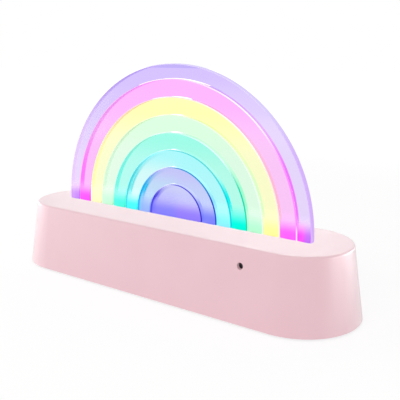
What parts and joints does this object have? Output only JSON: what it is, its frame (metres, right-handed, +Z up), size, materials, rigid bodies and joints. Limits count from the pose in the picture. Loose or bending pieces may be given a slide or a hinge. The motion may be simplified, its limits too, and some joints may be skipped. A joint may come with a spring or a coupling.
{
  "type": "rainbow table lamp",
  "caption": "Rainbow lamp: nested edge-lit acrylic arches stand on a tapered pastel base with a sound sensor, a charging socket and a rear mode button.",
  "frame": {"origin": "centre of the footprint, on the table surface under the feet", "axes": "+X along the base to the right seen from the front, the front with the sound hole faces -Y, +Z up"},
  "size_m": [0.25, 0.0724, 0.1403],
  "materials": {
    "pink_shell": "satin moulded",
    "pink_cover": "fine matt texture",
    "foot_rubber": "soft matt",
    "screw_steel": "zinc plated",
    "white_tray": "matt reflective white",
    "white_board": "solder mask",
    "green_board": "solder mask",
    "light_package": "white package",
    "black_parts": "matt",
    "socket_metal": "nickel plated",
    "capsule_metal": "plain",
    "button_plastic": "satin moulded",
    "switch_plastic": "plain",
    "grommet_rubber": "soft matt",
    "cell_sleeve": "shrink sleeve",
    "connector_white": "plain",
    "lead_jacket": "flexible jacket",
    "acrylic_centre": "clear acrylic, lit from its feet",
    "acrylic_periwinkle": "clear acrylic, lit from its feet",
    "acrylic_cyan": "clear acrylic, lit from its feet",
    "acrylic_mint": "clear acrylic, lit from its feet",
    "acrylic_green": "clear acrylic, lit from its feet",
    "acrylic_yellow": "clear acrylic, lit from its feet",
    "acrylic_pink": "clear acrylic, lit from its feet",
    "acrylic_lavender": "clear acrylic, lit from its feet"
  },
  "bodies": {
    "lamp": {"base_plate": "pink_cover", "base_screws": "screw_steel", "base_shell": "pink_shell", "battery_cell": "cell_sleeve", "battery_header": "connector_white", "battery_leads": "lead_jacket", "battery_plug": "connector_white", "board_screws": "screw_steel", "control_board": "green_board", "control_chip": "black_parts", "foot_pads": "foot_rubber", "guide_centre": "acrylic_centre", "guide_cyan": "acrylic_cyan", "guide_green": "acrylic_green", "guide_lavender": "acrylic_lavender", "guide_mint": "acrylic_mint", "guide_periwinkle": "acrylic_periwinkle", "guide_pink": "acrylic_pink", "guide_yellow": "acrylic_yellow", "light_board": "white_board", "light_header": "connector_white", "light_leads": "lead_jacket", "light_plug": "connector_white", "light_tray": "white_tray", "lights": "light_package", "mic_grommet": "grommet_rubber", "mic_leads": "lead_jacket", "microphone": "capsule_metal", "switch_body": "black_parts", "tray_screws": "screw_steel", "usb_shell": "socket_metal", "usb_tongue": "black_parts"},
    "button": {"mode_button": "button_plastic", "switch_plunger": "switch_plastic"}
  },
  "joints": [
    {"name": "button_press", "type": "slide", "parent": "lamp", "child": "button", "axis": [0, -1, 0], "range_m": [0, 0.0005], "stiffness_N_per_m": 2000, "springref_m": -0.0002}
  ]
}
